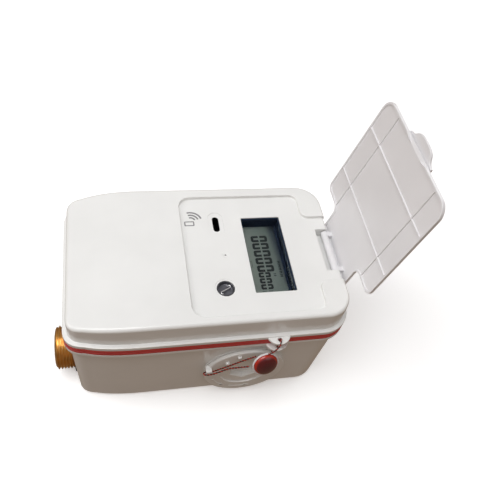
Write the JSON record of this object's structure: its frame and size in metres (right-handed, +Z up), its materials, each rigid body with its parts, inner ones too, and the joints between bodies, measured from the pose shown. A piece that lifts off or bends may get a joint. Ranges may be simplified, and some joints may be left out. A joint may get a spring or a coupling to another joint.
{
  "type": "prepaid water meter",
  "caption": "Prepaid ultrasonic water meter: flat box case with a hinged display lid, brass threaded pipe through it, sealed front cap and a motor valve.",
  "frame": {"origin": "middle of the flat underside of the case", "axes": "+X along the pipe from the inlet towards the outlet and the lid hinge, +Y towards the back, +Z up"},
  "size_m": [0.1929, 0.1122, 0.1693],
  "materials": {
    "white_plastic": "glossy moulded ABS",
    "lid_plastic": "satin moulded ABS",
    "red_rubber": "smooth silicone rubber",
    "brass": "turned",
    "steel": "plain",
    "clear_lens": "clear",
    "dark_bezel": "smooth",
    "lcd": "display glass over a grey-green polariser",
    "black_plastic": "fine moulded",
    "dark_metal": "dull plated",
    "copper": "wound enamelled wire",
    "circuit_board": "solder mask over glass fibre",
    "black_rubber": "moulded",
    "battery_wrap": "shrink sleeve",
    "ptfe": "turned",
    "nylon": "moulded",
    "lead_wire": "PVC insulation",
    "seal_wire": "coated twisted strand",
    "seal_red": "translucent polycarbonate"
  },
  "bodies": {
    "meter": {"battery_cap": "white_plastic", "battery_cap_o_ring": "black_rubber", "battery_cell_1": "battery_wrap", "battery_cell_2": "battery_wrap", "battery_contact_front": "steel", "battery_contact_rear": "steel", "battery_holder": "black_plastic", "battery_lead": "lead_wire", "board_screw_1": "steel", "board_screw_2": "steel", "board_screw_3": "steel", "board_screw_4": "steel", "card_antenna": "copper", "case_screw_1": "steel", "case_screw_2": "steel", "case_screw_3": "steel", "case_screw_4": "steel", "circuit_board": "circuit_board", "flow_tube": "brass", "gearbox_cover": "black_plastic", "gearbox_housing": "black_plastic", "hinge_pin": "steel", "inlet_connector": "brass", "inlet_grommet": "black_rubber", "key_contact_cup": "dark_metal", "lcd_frame": "dark_bezel", "lcd_glass": "lcd", "lcd_pin_row": "steel", "lower_housing": "white_plastic", "motor_lead": "lead_wire", "outlet_connector": "brass", "outlet_grommet": "black_rubber", "pulse_capacitor": "black_plastic", "reflector_downstream": "steel", "reflector_upstream": "steel", "seal_base": "lid_plastic", "seal_dome": "seal_red", "seal_wire_cap_loop": "seal_wire", "seal_wire_ear_loop": "seal_wire", "sealing_gasket": "red_rubber", "status_led": "clear_lens", "stem_o_ring": "black_rubber", "top_cover": "white_plastic", "transducer_downstream": "steel", "transducer_lead_downstream": "lead_wire", "transducer_lead_upstream": "lead_wire", "transducer_upstream": "steel", "usb_socket": "black_plastic", "valve_motor": "steel", "valve_seat_downstream": "ptfe", "valve_seat_upstream": "ptfe", "window_lens": "clear_lens"},
    "lid": {"lid": "lid_plastic"},
    "valve": {"valve_ball": "steel", "valve_stem": "steel", "output_gear": "nylon"},
    "idler": {"idler_gear": "nylon"},
    "pinion": {"motor_pinion": "nylon"},
    "key_contact": {"key_contact_spring": "steel"}
  },
  "joints": [
    {"name": "lid_hinge", "type": "hinge", "parent": "meter", "child": "lid", "pos_m": [0.0761, 0, 0.0796], "axis": [0, 1, 0], "range_deg": [-102.5, 0]},
    {"name": "valve_turn", "type": "hinge", "parent": "meter", "child": "valve", "pos_m": [0.05, -0.019, 0.0184], "axis": [0, 0, 1], "range_deg": [0, 90]},
    {"name": "idler_turn", "type": "hinge", "parent": "meter", "child": "idler", "pos_m": [0.05, -0.004, 0.0439], "axis": [0, 0, 1], "range_deg": [-270, 0]},
    {"name": "pinion_turn", "type": "hinge", "parent": "meter", "child": "pinion", "pos_m": [0.05, 0.00875, 0.0457], "axis": [0, 0, 1], "range_deg": [0, 648]},
    {"name": "key_contact_press", "type": "slide", "parent": "meter", "child": "key_contact", "axis": [0, 0, -1], "range_m": [0, 0.0008], "stiffness_N_per_m": 30}
  ],
  "couplings": [
    {"joint": "idler_turn", "follows": "valve_turn", "ratio": -3},
    {"joint": "pinion_turn", "follows": "valve_turn", "ratio": 7.2}
  ]
}
